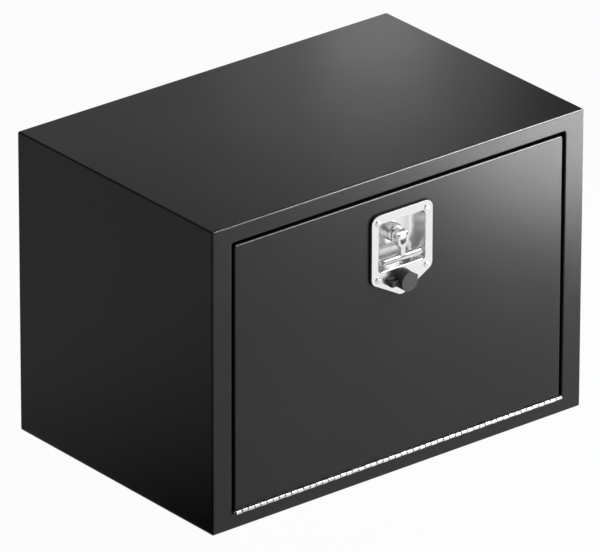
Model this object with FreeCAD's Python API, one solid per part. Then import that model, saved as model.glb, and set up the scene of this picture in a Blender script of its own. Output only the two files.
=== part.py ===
"""Steel tool cabinet with a drop-down door, a recessed folding T-handle latch and a full-width piano hinge.

Millimetres. X runs to the right as seen from the front, +Y to the back, +Z up. The origin is the centre of
the cabinet body's underside, so the front face lies at minus half the depth.
"""
import FreeCAD, Part
import math
import os

Vector = FreeCAD.Vector
X_AXIS = Vector(1, 0, 0)
Y_AXIS = Vector(0, 1, 0)
Z_AXIS = Vector(0, 0, 1)

# How many flats stand in for a full turn on round pieces, and for a quarter turn on small corners
ROUND_SIDES = 24
SMALL_SIDES = 12
FASTENER_SIDES = 8
CORNER_STEPS = 3

# Cabinet body
CABINET_WIDTH = 660.4
CABINET_DEPTH = 431.8
CABINET_HEIGHT = 457.2
SHEET = 1.5
BODY_EDGE_RADIUS = 3.0
FRAME_RIM = 12.0
END_PANEL_LIP = 10.0

# Front frame round the door
STILE_WIDTH = 33.7
TOP_RAIL_HEIGHT = 25.2
BOTTOM_RAIL_HEIGHT = 23.9
OPENING_CORNER_RADIUS = 4.0
OPENING_BEND = 2.0
RETURN_DEPTH = 30.0
LAND_WIDTH = 14.0
LAND_CORNER_RADIUS = 10.0

# Door seal on the land
SEAL_WIDTH = 8.0
SEAL_NOSE_CHAMFER = 2.5
SEAL_INSET = 5.0
SEAL_CLEARANCE = 0.3

# Piano hinge
LEAF_SHEET = 1.2
LEAF_GAP = 0.5
LEAF_WIDTH = 21.0
BARREL_RADIUS = 3.0
BARREL_BORE_RADIUS = 1.55
PIN_RUNNING_CLEARANCE = 0.05
BARREL_FRONT_OFFSET = 3.0
KNUCKLE_PITCH = 10.85
KNUCKLE_END_GAP = 0.3
HINGE_END_GAP = 3.4

# Door
DOOR_SIDE_GAP = 5.0
DOOR_TOP_GAP = 5.5
DOOR_DEPTH = 20.0
DOOR_CORNER_RADIUS = 3.0
DOOR_EDGE_RADIUS = 2.5
INNER_FLANGE_DEPTH = 12.0
INNER_CORNER_RADIUS = 4.0
BEAD_OFFSET = 175.0
BEAD_WIDTH = 26.0
BEAD_HEIGHT = 250.0
BEAD_DEPTH = 4.0
ACCESS_HOLE_WIDTH = 106.0
ACCESS_HOLE_MARGIN = 6.0
ACCESS_HOLE_RADIUS = 12.0

# Latch plate with its pressed pan
LATCH_BELOW_DOOR_TOP = 25.5
PLATE_WIDTH = 108.0
PLATE_SHOULDER_DROP = 100.8
PLATE_APEX_DROP = 130.7
PLATE_CORNER_RADIUS = 12.0
PLATE_SHEET = 1.6
PLATE_GASKET_THICKNESS = 2.5
PLATE_GASKET_OVERHANG = 1.2
PAN_MOUTH_WIDTH = 83.0
PAN_MOUTH_HEIGHT = 72.5
PAN_TOP_BORDER = 14.0
PAN_MOUTH_RADIUS = 6.0
PAN_DEPTH = 24.0
PAN_SIDE_DRAFT = 6.0
PAN_END_DRAFT = 2.0
PAN_FLOOR_EDGE = 5.0
PAN_CUTOUT_CLEARANCE = 0.6
PAN_LIP = 1.2

# Blind rivets that hold the plate
RIVET_SPACING = 86.6
RIVET_TOP_DROP = 10.8
RIVET_BOTTOM_DROP = 97.0
RIVET_SHANK_RADIUS = 2.4
RIVET_HEAD_RADIUS = 4.8
RIVET_HEAD_HEIGHT = 1.5
RIVET_MANDREL_RADIUS = 1.3
RIVET_MANDREL_DEPTH = 1.2
RIVET_TAIL_RADIUS = 3.6
RIVET_TAIL_LENGTH = 5.0
RIVET_HOLE_CLEARANCE = 0.05

# Spindle, its hub and the pawl
SPINDLE_DROP = 42.0
SPINDLE_RADIUS = 6.0
SPINDLE_CLEARANCE = 0.06
SPINDLE_END_PROUD = 1.7
HEAD_WIDTH = 9.6
HEAD_HEIGHT = 13.8
HEAD_NOSE_RADIUS = 5.0
HUB_RADIUS = 13.25
HUB_HEIGHT = 10.4
HUB_EDGE_RADIUS = 3.0
HUB_TAIL_RADIUS = 9.0
HUB_TAIL_LENGTH = 5.6
HUB_NUT_ACROSS_FLATS = 24.0
HUB_NUT_THICKNESS = 4.0
PAWL_LAND_CLEARANCE = 0.8
PAWL_THICKNESS = 4.0
PAWL_OVERLAP = 10.0
PAWL_WIDTH = 18.0
PAWL_TAIL_LENGTH = 45.0
PAWL_TAIL_WIDTH = 15.0
PAWL_SQUARE = 8.0
PAWL_SQUARE_CLEARANCE = 0.05
PAWL_WASHER_RADIUS = 8.0
PAWL_WASHER_THICKNESS = 1.6
PAWL_NUT_ACROSS_FLATS = 10.0
PAWL_NUT_THICKNESS = 5.0
PAWL_THREAD_RADIUS = 3.0
THREAD_END = 1.0

# Folding T-handle
YOKE_WIDTH = 18.5
YOKE_SLOT_CLEARANCE = 0.4
YOKE_RADIUS = 7.6
YOKE_HUB_GAP = 0.6
YOKE_CROTCH_DROP = 11.4
YOKE_BOTTOM_DROP = 15.3
YOKE_SHOULDER_RADIUS = 7.5
STEM_WIDTH = 8.0
STEM_DEPTH = 8.0
BAR_LENGTH = 70.5
BAR_RADIUS = 4.65
BAR_END_RADIUS = 3.0
BAR_DROP = 31.7
BAR_BEHIND_YOKE_FRONT = 3.7
PIVOT_PIN_RADIUS = 2.0
PIVOT_CLEARANCE = 0.05
PIVOT_PIN_RECESS = 1.2

# Key lock in the apron of the plate
LOCK_DROP = 105.0
LOCK_HEAD_RADIUS = 9.8
LOCK_HEAD_HEIGHT = 8.5
LOCK_HEAD_CHAMFER = 1.5
LOCK_BARREL_RADIUS = 9.0
LOCK_BARREL_FLAT = 8.0
LOCK_BARREL_LENGTH = 32.0
LOCK_HOLE_CLEARANCE = 0.15
LOCK_NUT_ACROSS_FLATS = 24.0
LOCK_NUT_THICKNESS = 4.0
PLUG_RADIUS = 6.5
PLUG_CLEARANCE = 0.06
KEYWAY_WIDTH = 1.8
KEYWAY_HEIGHT = 7.5
KEYWAY_DEPTH = 7.0
CAM_THICKNESS = 3.0
CAM_SQUARE = 6.0
CAM_REACH = 24.0
CAM_FINGER_WIDTH = 5.7
CAM_PAWL_GAP = 1.3
CAM_NUT_ACROSS_FLATS = 10.0
CAM_NUT_THICKNESS = 4.0

# Rubber weather cap over the lock
COLLAR_THICKNESS = 3.5
COLLAR_LOCK_GAP = 0.4
EAR_REACH = 27.0
EAR_HEIGHT = 10.0
EAR_END_RADIUS = 3.0
CAP_RADIUS = 14.4
CAP_WALL = 2.5
CAP_PROUD = 17.0
CAP_EDGE_CHAMFER = 1.2
CAP_COLLAR_GAP = 0.3
CAP_FLAT_DISTANCE = 13.2
CAP_FLAT_ANGLE = 36.0
CAP_TAB_REACH = 15.8
CAP_TAB_HEIGHT = 7.5
CAP_TAB_THICKNESS = 3.0
STRAP_HEIGHT = 8.0
STRAP_THICKNESS = 2.8
STRAP_FORWARD = 7.5
STRAP_BEND_RADIUS = 2.0
STRAP_CAP_GAP = 0.3

# Slotted door stays
DOOR_OPEN_ANGLE = 88.0
STAY_PIVOT_BACK = 32.0
STAY_PIVOT_HEIGHT = 150.0
STAY_REST_ANGLE = 30.0
STAY_WIDTH = 16.0
STAY_THICKNESS = 3.0
STAY_LAND_GAP = 3.0
STUD_RADIUS = 4.0
STUD_SLOT_CLEARANCE = 0.2
STUD_STOP_CLEARANCE = 0.3
STUD_HEAD_RADIUS = 7.0
STUD_HEAD_THICKNESS = 2.0
STUD_COLLAR_RADIUS = 6.5
STAY_SIDE_CLEARANCE = 0.3
BRACKET_SHEET = 2.5
BRACKET_FOOT = 11.0
BRACKET_END_RADIUS = 10.0
BRACKET_FOOT_HEIGHT = 44.0
DOOR_BRACKET_FOOT = 16.0
DOOR_BRACKET_HEIGHT = 40.0
DOOR_BRACKET_RADIUS = 8.0
STUD_HOLE_CLEARANCE = 0.05

# Places worked out from the sizes above
HALF_WIDTH = CABINET_WIDTH / 2
FRONT = -CABINET_DEPTH / 2
BACK = CABINET_DEPTH / 2
OPENING_HALF = HALF_WIDTH - STILE_WIDTH
OPENING_TOP = CABINET_HEIGHT - TOP_RAIL_HEIGHT
OPENING_BOTTOM = BOTTOM_RAIL_HEIGHT
LAND_BACK = FRONT + RETURN_DEPTH
LAND_FRONT = LAND_BACK - SHEET
LAND_HALF = OPENING_HALF - LAND_WIDTH

HINGE_Y = FRONT - BARREL_FRONT_OFFSET
HINGE_Z = OPENING_BOTTOM + LEAF_SHEET + LEAF_GAP / 2
DOOR_BOTTOM = HINGE_Z + LEAF_GAP / 2 + LEAF_SHEET
DOOR_TOP = OPENING_TOP - DOOR_TOP_GAP
DOOR_HALF = OPENING_HALF - DOOR_SIDE_GAP
DOOR_BACK = FRONT + DOOR_DEPTH

PLATE_TOP = DOOR_TOP - LATCH_BELOW_DOOR_TOP
PLATE_BACK = FRONT - PLATE_GASKET_THICKNESS
PLATE_FRONT = PLATE_BACK - PLATE_SHEET
MOUTH_TOP = PLATE_TOP - PAN_TOP_BORDER
MOUTH_BOTTOM = MOUTH_TOP - PAN_MOUTH_HEIGHT
FLOOR_FRONT = PLATE_FRONT + PAN_DEPTH
FLOOR_BACK = FLOOR_FRONT + PLATE_SHEET

SPINDLE_Z = PLATE_TOP - SPINDLE_DROP
HUB_FRONT = FLOOR_FRONT - HUB_HEIGHT
PIVOT_Y = HUB_FRONT - YOKE_HUB_GAP - YOKE_RADIUS
YOKE_FRONT = PIVOT_Y - YOKE_RADIUS
PAWL_FRONT = LAND_BACK + PAWL_LAND_CLEARANCE
PAWL_BACK = PAWL_FRONT + PAWL_THICKNESS
LAND_LOWER_EDGE = OPENING_TOP - LAND_WIDTH

LOCK_Z = PLATE_TOP - LOCK_DROP
LOCK_FACE = PLATE_FRONT - LOCK_HEAD_HEIGHT
COLLAR_FRONT = PLATE_FRONT - COLLAR_THICKNESS
CAP_FRONT = PLATE_FRONT - CAP_PROUD
CAP_RIM = COLLAR_FRONT - CAP_COLLAR_GAP

STAY_Y = HINGE_Y + STAY_PIVOT_BACK
STAY_Z = HINGE_Z + STAY_PIVOT_HEIGHT
STAY_RADIUS = math.hypot(STAY_PIVOT_BACK, STAY_PIVOT_HEIGHT)
STAY_LEAN = math.degrees(math.atan2(STAY_PIVOT_BACK, STAY_PIVOT_HEIGHT))
STUD_ANGLE = math.radians(STAY_LEAN + STAY_REST_ANGLE)
STUD_Y = HINGE_Y + STAY_RADIUS * math.sin(STUD_ANGLE)
STUD_Z = HINGE_Z + STAY_RADIUS * math.cos(STUD_ANGLE)
STAY_OUTER = LAND_HALF - STAY_LAND_GAP
STAY_INNER = STAY_OUTER - STAY_THICKNESS


def box(x_range, y_range, z_range):
    """A block between three pairs of limits."""
    corner = Vector(x_range[0], y_range[0], z_range[0])
    size = [high - low for low, high in (x_range, y_range, z_range)]
    return Part.makeBox(size[0], size[1], size[2], corner)


def ring(axis, centre, radius, sides):
    """Corner points of a regular figure round an axis along X or Y."""
    across = Y_AXIS if axis is X_AXIS else X_AXIS
    points = []
    for step in range(sides):
        angle = 2 * math.pi * (step + 0.5) / sides
        points.append(centre + across * (radius * math.cos(angle)) + Z_AXIS * (radius * math.sin(angle)))
    return points


def flat_face(points):
    """A flat face inside a closed run of points."""
    return Part.Face(Part.makePolygon(points + [points[0]]))


def stacked(rings):
    """A solid whose flat sides join rings of points with the same count, closed at both ends."""
    faces = [flat_face(rings[0]), flat_face(rings[-1])]
    count = len(rings[0])
    for near, far in zip(rings, rings[1:]):
        for index in range(count):
            following = (index + 1) % count
            faces.append(flat_face([near[index], near[following], far[following], far[index]]))
    solid = Part.Solid(Part.Shell(faces))
    if solid.Volume < 0:
        solid.reverse()
    return solid.removeSplitter()


def turned(axis, centre, profile, sides=ROUND_SIDES):
    """A many-sided turned form from pairs of radius and distance along the axis."""
    return stacked([ring(axis, centre + axis * along, radius, sides) for radius, along in profile])


def round_bar(axis, centre, radius, length, sides=ROUND_SIDES):
    """A bar whose corners lie on the radius, so it stays inside a true round bar."""
    return turned(axis, centre, [(radius, 0), (radius, length)], sides)


def round_bore(axis, centre, radius, length, sides=ROUND_SIDES):
    """A hole form whose flats touch the radius, so it stays outside a true round bore."""
    return round_bar(axis, centre, radius / math.cos(math.pi / sides), length, sides)


def corners(half_width, bottom, top):
    """The four corners of a rectangle centred on X, as X and Z pairs."""
    return [(-half_width, bottom), (half_width, bottom), (half_width, top), (-half_width, top)]


def rounded_wire(points, radii, place, steps=CORNER_STEPS):
    """A closed outline with tangent round corners, each of a few flats or, with no steps, a true arc.

    place turns a pair of numbers into a 3-D point.
    """
    count = len(points)
    starts = []
    middles = []
    ends = []
    for index in range(count):
        here = Vector(points[index][0], points[index][1], 0)
        before = Vector(points[index - 1][0], points[index - 1][1], 0) - here
        after = Vector(points[(index + 1) % count][0], points[(index + 1) % count][1], 0) - here
        before.normalize()
        after.normalize()
        half_angle = before.getAngle(after) / 2
        reach = radii[index] / math.tan(half_angle)
        bisector = before + after
        bisector.normalize()
        to_centre = radii[index] / math.sin(half_angle)
        centre = here + bisector * to_centre
        start = here + before * reach
        end = here + after * reach
        starts.append(start)
        ends.append(end)
        turn = math.pi - 2 * half_angle
        corner = []
        for step in range(1, steps):
            share = step / steps
            swing = (start - centre) * math.sin(turn * (1 - share)) + (end - centre) * math.sin(turn * share)
            corner.append(centre + swing * (1 / math.sin(turn)))
        middles.append(corner if steps else here + bisector * (to_centre - radii[index]))
    if steps:
        outline = []
        for start, corner, end in zip(starts, middles, ends):
            outline += [place(point) for point in [start] + corner + [end]]
        kept = [point for index, point in enumerate(outline) if (point - outline[index - 1]).Length > 1e-6]
        return Part.makePolygon(kept + [kept[0]])
    edges = []
    for index in range(count):
        arc = Part.Arc(place(starts[index]), place(middles[index]), place(ends[index]))
        edges.append(arc.toShape())
        line_start = place(ends[index])
        line_end = place(starts[(index + 1) % count])
        if (line_end - line_start).Length > 1e-6:
            edges.append(Part.LineSegment(line_start, line_end).toShape())
    return Part.Wire(edges)


def front_wire(points, radii, y, steps=CORNER_STEPS):
    """A rounded outline in an upright plane that faces the front."""
    return rounded_wire(points, radii, lambda flat: Vector(flat.x, y, flat.y), steps)


def front_plate(points, radii, y_start, y_end, steps=CORNER_STEPS):
    """A rounded outline seen from the front, with a thickness along Y."""
    return Part.Face(front_wire(points, radii, y_start, steps)).extrude(Vector(0, y_end - y_start, 0))


def side_plate(points, radii, x_start, x_end):
    """A rounded outline of Y and Z pairs, with a thickness along X."""
    wire = rounded_wire(points, radii, lambda flat: Vector(x_start, flat.x, flat.y))
    return Part.Face(wire).extrude(Vector(x_end - x_start, 0, 0))


def hexagon(across_flats, x, z, y_start, y_end):
    """A hexagonal prism along Y, flats up and down."""
    corner_radius = across_flats / 2 / math.cos(math.radians(30))
    points = []
    for step in range(6):
        angle = math.radians(60 * step)
        points.append(Vector(x + corner_radius * math.cos(angle), y_start, z + corner_radius * math.sin(angle)))
    wire = Part.makePolygon(points + [points[0]])
    return Part.Face(wire).extrude(Vector(0, y_end - y_start, 0))


def edges_at(shape, test):
    """The edges whose every sampled point passes a test."""
    found = []
    for edge in shape.Edges:
        span = edge.LastParameter - edge.FirstParameter
        samples = [edge.valueAt(edge.FirstParameter + span * part) for part in (0.1, 0.5, 0.9)]
        if all(test(point) for point in samples):
            found.append(edge)
    return found


def mirrored(shape):
    """The same piece on the other side of the cabinet."""
    return shape.mirror(Vector(0, 0, 0), X_AXIS)


def save(name, shape):
    """Write one piece under its node's name."""
    shape.exportStep(os.path.join("parts", name + ".step"))


def cabinet_skin():
    """The closed sheet skin of the body, from which the frame, the end panels and the wrap are parted."""
    outer = box((-HALF_WIDTH, HALF_WIDTH), (FRONT, BACK), (0, CABINET_HEIGHT))
    outer = outer.makeFillet(BODY_EDGE_RADIUS, outer.Edges)
    inner = box(
        (-HALF_WIDTH + SHEET, HALF_WIDTH - SHEET),
        (FRONT + SHEET, BACK - SHEET),
        (SHEET, CABINET_HEIGHT - SHEET),
    )
    return outer.cut(inner)


def front_frame(skin):
    """Face ring with its outer rim, the bent return round the opening and the land that carries the seal."""
    margin = BODY_EDGE_RADIUS
    front_slab = box(
        (-HALF_WIDTH - margin, HALF_WIDTH + margin),
        (FRONT - margin, FRONT + FRAME_RIM),
        (-margin, CABINET_HEIGHT + margin),
    )
    ring = skin.common(front_slab)
    opening = corners(OPENING_HALF, OPENING_BOTTOM, OPENING_TOP)
    sleeve = corners(OPENING_HALF + SHEET, OPENING_BOTTOM - SHEET, OPENING_TOP + SHEET)
    land = corners(LAND_HALF, OPENING_BOTTOM + LAND_WIDTH, OPENING_TOP - LAND_WIDTH)
    sleeve_solid = front_plate(sleeve, [OPENING_CORNER_RADIUS + SHEET] * 4, FRONT, LAND_BACK, 0)
    opening_cut = front_plate(opening, [OPENING_CORNER_RADIUS] * 4, FRONT - margin, LAND_FRONT, 0)
    land_cut = front_plate(land, [LAND_CORNER_RADIUS] * 4, LAND_FRONT - margin, LAND_BACK + margin)
    frame = ring.fuse(sleeve_solid).cut(opening_cut).cut(land_cut).removeSplitter()

    def on_front_bend(point):
        inside = abs(point.x) < OPENING_HALF + SHEET and OPENING_BOTTOM - SHEET < point.z < OPENING_TOP + SHEET
        return inside and abs(point.y - FRONT) < 1e-3

    def on_back_bend(point):
        outside = abs(point.x) > OPENING_HALF + SHEET / 2 or not OPENING_BOTTOM < point.z < OPENING_TOP
        return outside and abs(point.y - LAND_BACK) < 1e-3

    bends = edges_at(frame, on_front_bend) + edges_at(frame, on_back_bend)
    return frame.makeChamfer(OPENING_BEND, bends)


def end_panel(skin):
    """Left end: a shallow pan with a lip that butts on to the wrap."""
    margin = BODY_EDGE_RADIUS
    region = box(
        (-HALF_WIDTH - margin, -HALF_WIDTH + END_PANEL_LIP),
        (FRONT + FRAME_RIM, BACK + margin),
        (-margin, CABINET_HEIGHT + margin),
    )
    return skin.common(region)


def body_wrap(skin):
    """Top, back and bottom bent from one sheet."""
    margin = BODY_EDGE_RADIUS
    region = box(
        (-HALF_WIDTH + END_PANEL_LIP, HALF_WIDTH - END_PANEL_LIP),
        (FRONT + FRAME_RIM, BACK + margin),
        (-margin, CABINET_HEIGHT + margin),
    )
    return skin.common(region)


def door_seal():
    """Rubber bulb strip glued round the land, with a rounded nose towards the door."""
    outer = corners(OPENING_HALF - SEAL_INSET, OPENING_BOTTOM + SEAL_INSET, OPENING_TOP - SEAL_INSET)
    inner_inset = SEAL_INSET + SEAL_WIDTH
    inner = corners(OPENING_HALF - inner_inset, OPENING_BOTTOM + inner_inset, OPENING_TOP - inner_inset)
    nose = DOOR_BACK + SEAL_CLEARANCE
    outer_radius = LAND_CORNER_RADIUS + SEAL_WIDTH
    ring = front_plate(outer, [outer_radius] * 4, nose, LAND_FRONT)
    ring = ring.cut(front_plate(inner, [LAND_CORNER_RADIUS] * 4, nose, LAND_FRONT))
    nose_edges = edges_at(ring, lambda point: abs(point.y - nose) < 1e-3)
    return ring.makeChamfer(SEAL_NOSE_CHAMFER, nose_edges)



def knuckle_count():
    """How many whole knuckles fit in the opening, always an even number."""
    usable = 2 * (OPENING_HALF - HINGE_END_GAP)
    return 2 * int(usable / KNUCKLE_PITCH / 2 + 1e-6)


def hinge_leaf(first_knuckle, above):
    """One hinge leaf: a strip that rolls into every second knuckle; the knuckles have few flats."""
    count = knuckle_count()
    hinge_half = count * KNUCKLE_PITCH / 2
    if above:
        strip_z = (HINGE_Z + LEAF_GAP / 2, HINGE_Z + LEAF_GAP / 2 + LEAF_SHEET)
    else:
        strip_z = (HINGE_Z - LEAF_GAP / 2 - LEAF_SHEET, HINGE_Z - LEAF_GAP / 2)
    strip_start = HINGE_Y + BARREL_RADIUS + KNUCKLE_END_GAP
    wall_middle = HINGE_Y + (BARREL_RADIUS + BARREL_BORE_RADIUS) / 2
    pieces = []
    for index in range(first_knuckle, count, 2):
        start = -hinge_half + index * KNUCKLE_PITCH + KNUCKLE_END_GAP / 2
        length = KNUCKLE_PITCH - KNUCKLE_END_GAP
        centre = Vector(start, HINGE_Y, HINGE_Z)
        tube = round_bar(X_AXIS, centre, BARREL_RADIUS, length, FASTENER_SIDES)
        tab = box((start, start + length), (wall_middle, strip_start), strip_z)
        bore = round_bore(X_AXIS, centre, BARREL_BORE_RADIUS, length, FASTENER_SIDES)
        tube = tube.fuse(tab).cut(bore)
        pieces.append(tube)
    strip = box((-hinge_half, hinge_half), (strip_start, HINGE_Y + LEAF_WIDTH), strip_z)
    return strip.multiFuse(pieces).removeSplitter()


def hinge_pin():
    """The pin that runs through all the knuckles."""
    half = knuckle_count() * KNUCKLE_PITCH / 2
    radius = BARREL_BORE_RADIUS - PIN_RUNNING_CLEARANCE
    return round_bar(X_AXIS, Vector(-half, HINGE_Y, HINGE_Z), radius, 2 * half, SMALL_SIDES)


def plate_outline(grow):
    """Corner points and radii of the latch plate, grown outwards by a margin."""
    half = PLATE_WIDTH / 2
    top = PLATE_TOP
    shoulder = top - PLATE_SHOULDER_DROP
    apex = top - PLATE_APEX_DROP
    slope = math.atan2(shoulder - apex, half)
    shoulder_shift = grow * (math.tan(slope) - 1 / math.cos(slope))
    points = [
        (half + grow, shoulder + shoulder_shift),
        (half + grow, top + grow),
        (-half - grow, top + grow),
        (-half - grow, shoulder + shoulder_shift),
        (0, apex - grow / math.cos(slope)),
    ]
    return points, [PLATE_CORNER_RADIUS + grow] * 5


def rivet_places():
    """X and Z of the four rivets."""
    return [
        (side * RIVET_SPACING / 2, PLATE_TOP - drop)
        for side in (-1, 1)
        for drop in (RIVET_TOP_DROP, RIVET_BOTTOM_DROP)
    ]


def rivet_holes(y_start, y_end):
    """Holes for the rivets between two planes."""
    radius = RIVET_SHANK_RADIUS + RIVET_HOLE_CLEARANCE
    length = y_end - y_start
    holes = [round_bore(Y_AXIS, Vector(x, y_start, z), radius, length, FASTENER_SIDES) for x, z in rivet_places()]
    return Part.makeCompound(holes)


def double_d(radius, flat, y_start, y_end):
    """A round bar along Y at the lock, with a flat on each side."""
    bar = round_bar(Y_AXIS, Vector(0, y_start, LOCK_Z), radius, y_end - y_start, SMALL_SIDES)
    block = box((-flat, flat), (y_start, y_end), (LOCK_Z - radius, LOCK_Z + radius))
    return bar.common(block)


def lock_hole(y_start, y_end):
    """The hole that the lock's barrel passes through."""
    return double_d(LOCK_BARREL_RADIUS + LOCK_HOLE_CLEARANCE, LOCK_BARREL_FLAT + LOCK_HOLE_CLEARANCE, y_start, y_end)


def pan_block(grow, lip, mouth_y, floor_y):
    """The drafted block of the latch pan, grown outwards by a margin, with its lip and floor edge turned."""
    edge = PAN_FLOOR_EDGE + grow
    depth = floor_y - mouth_y
    rings = []
    steps = [(depth, -lip), (depth - lip, 0), (edge, 0), (edge * 0.29, edge * 0.29), (0, edge)]
    for back_off, inset in steps if lip else steps[1:]:
        share = 1 - back_off / depth
        points = corners(
            PAN_MOUTH_WIDTH / 2 - PAN_SIDE_DRAFT * share - inset + grow,
            MOUTH_BOTTOM + PAN_END_DRAFT * share + inset - grow,
            MOUTH_TOP - PAN_END_DRAFT * share - inset + grow,
        )
        wire = front_wire(points, [PAN_MOUTH_RADIUS + grow] * 4, floor_y - back_off)
        rings.append([vertex.Point for vertex in wire.OrderedVertexes])
    return stacked(rings)


def latch_cutout(y_start, y_end):
    """The rectangular hole that the pan drops through."""
    grow = PLATE_SHEET + PAN_CUTOUT_CLEARANCE
    points = corners(PAN_MOUTH_WIDTH / 2 + grow, MOUTH_BOTTOM - grow, MOUTH_TOP + grow)
    return front_plate(points, [PAN_MOUTH_RADIUS + grow] * 4, y_start, y_end)


def door_skin():
    """Outer door pan with flanges bent back all round and the latch holes."""
    outer = corners(DOOR_HALF, DOOR_BOTTOM, DOOR_TOP)
    outer = front_plate(outer, [DOOR_CORNER_RADIUS] * 4, FRONT, DOOR_BACK, 0)
    front_edges = edges_at(outer, lambda point: abs(point.y - FRONT) < 1e-3)
    outer = outer.makeFillet(DOOR_EDGE_RADIUS, front_edges)
    inner = corners(DOOR_HALF - SHEET, DOOR_BOTTOM + SHEET, DOOR_TOP - SHEET)
    inner = front_plate(inner, [DOOR_CORNER_RADIUS - SHEET] * 4, FRONT + SHEET, DOOR_BACK + SHEET)
    face = (FRONT - SHEET, FRONT + 2 * SHEET)
    return outer.cut(inner).cut(latch_cutout(*face)).cut(rivet_holes(*face)).cut(lock_hole(*face))


def door_inner_panel():
    """Inner door panel: a pan that faces forward inside the outer one, with two pressed beads and a latch hole."""
    half = DOOR_HALF - SHEET
    bottom = DOOR_BOTTOM + SHEET
    top = DOOR_TOP - SHEET
    front = DOOR_BACK - INNER_FLANGE_DEPTH
    outer = front_plate(corners(half, bottom, top), [INNER_CORNER_RADIUS] * 4, front, DOOR_BACK)
    hollow = front_plate(
        corners(half - SHEET, bottom + SHEET, top - SHEET),
        [INNER_CORNER_RADIUS - SHEET] * 4,
        front,
        DOOR_BACK - SHEET,
    )
    back_edges = edges_at(outer, lambda point: abs(point.y - DOOR_BACK) < 1e-3)
    panel = outer.makeChamfer(SHEET, back_edges).cut(hollow)
    middle = (DOOR_BOTTOM + DOOR_TOP) / 2
    for side in (-1, 1):
        bead = bead_form(side * BEAD_OFFSET, middle, 0)
        groove = bead_form(side * BEAD_OFFSET, middle, SHEET)
        panel = panel.fuse(bead).cut(groove)
    access = front_plate(
        corners(ACCESS_HOLE_WIDTH / 2, access_bottom(), MOUTH_TOP + ACCESS_HOLE_MARGIN),
        [ACCESS_HOLE_RADIUS] * 4,
        DOOR_BACK - 2 * SHEET,
        DOOR_BACK + SHEET,
    )
    return panel.cut(access).removeSplitter()


def access_bottom():
    """Lower edge of the inner panel's latch hole, below the lock's barrel."""
    return LOCK_Z - LOCK_NUT_ACROSS_FLATS / 2 - ACCESS_HOLE_MARGIN


def bead_form(x, middle, inset):
    """A long bead pressed forward into the inner panel; the inset form is the groove behind it."""
    half_width = BEAD_WIDTH / 2 - inset
    half_height = BEAD_HEIGHT / 2 - inset
    back = DOOR_BACK if inset else DOOR_BACK - SHEET
    flank = BEAD_DEPTH * math.tan(math.radians(30))
    rings = []
    for y, draw in ((back, 0), (back - BEAD_DEPTH, flank)):
        points = [
            (x - half_width + draw, middle - half_height + draw),
            (x + half_width - draw, middle - half_height + draw),
            (x + half_width - draw, middle + half_height - draw),
            (x - half_width + draw, middle + half_height - draw),
        ]
        wire = front_wire(points, [half_width - flank - 1] * 4, y)
        rings.append([vertex.Point for vertex in wire.OrderedVertexes])
    return stacked(rings)


def latch_gasket():
    """Rubber sheet gasket between the latch plate and the door."""
    points, radii = plate_outline(PLATE_GASKET_OVERHANG)
    sheet = front_plate(points, radii, PLATE_BACK, FRONT)
    span = (PLATE_BACK, FRONT)
    return sheet.cut(latch_cutout(*span)).cut(rivet_holes(*span)).cut(lock_hole(*span))


def latch_pan():
    """Stainless latch plate, pressed in one piece with its deep pan."""
    points, radii = plate_outline(0)
    flange = front_plate(points, radii, PLATE_FRONT, PLATE_BACK)
    body = flange.fuse(pan_block(PLATE_SHEET, 0, PLATE_FRONT, FLOOR_BACK))
    body = body.cut(pan_block(0, PAN_LIP, PLATE_FRONT, FLOOR_FRONT))
    tail = round_bar(Y_AXIS, Vector(0, FLOOR_FRONT - 1, SPINDLE_Z), HUB_TAIL_RADIUS, PLATE_SHEET + 2)
    return body.cut(tail).cut(rivet_holes(PLATE_FRONT, PLATE_BACK)).cut(lock_hole(PLATE_FRONT, PLATE_BACK))


def latch_rivets():
    """Four blind rivets with domed heads, set through plate, gasket and door."""
    grip = FRONT + SHEET - PLATE_FRONT
    profile = [
        (RIVET_MANDREL_RADIUS, RIVET_MANDREL_DEPTH - RIVET_HEAD_HEIGHT),
        (RIVET_MANDREL_RADIUS, -RIVET_HEAD_HEIGHT),
        (RIVET_HEAD_RADIUS * 0.72, -RIVET_HEAD_HEIGHT * 0.75),
        (RIVET_HEAD_RADIUS, 0),
        (RIVET_SHANK_RADIUS, 0),
        (RIVET_SHANK_RADIUS, grip),
        (RIVET_TAIL_RADIUS, grip),
        (RIVET_TAIL_RADIUS, grip + RIVET_TAIL_LENGTH),
    ]
    places = [Vector(x, PLATE_FRONT, z) for x, z in rivet_places()]
    return Part.makeCompound([turned(Y_AXIS, place, profile, FASTENER_SIDES) for place in places])


def spindle_hub():
    """Bearing hub that stands on the pan floor, with a tail through it."""
    edge = HUB_EDGE_RADIUS
    tail_end = HUB_HEIGHT + PLATE_SHEET + HUB_TAIL_LENGTH
    profile = [
        (HUB_RADIUS - edge, 0),
        (HUB_RADIUS - edge * 0.29, edge * 0.29),
        (HUB_RADIUS, edge),
        (HUB_RADIUS, HUB_HEIGHT),
        (HUB_TAIL_RADIUS, HUB_HEIGHT),
        (HUB_TAIL_RADIUS, tail_end),
    ]
    start = Vector(0, HUB_FRONT, SPINDLE_Z)
    bore = round_bore(Y_AXIS, start, SPINDLE_RADIUS + SPINDLE_CLEARANCE, tail_end)
    return turned(Y_AXIS, start, profile).cut(bore)


def spindle_hub_nut():
    """Thin nut on the hub's tail, behind the pan floor."""
    nut = hexagon(HUB_NUT_ACROSS_FLATS, 0, SPINDLE_Z, FLOOR_BACK, FLOOR_BACK + HUB_NUT_THICKNESS)
    hole = round_bar(Y_AXIS, Vector(0, FLOOR_BACK, SPINDLE_Z), HUB_TAIL_RADIUS, HUB_NUT_THICKNESS)
    return nut.cut(hole)


def square_bar(side, z, y_start, y_end):
    """A square bar along Y on the door's centre line."""
    return box((-side / 2, side / 2), (y_start, y_end), (z - side / 2, z + side / 2))


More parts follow.
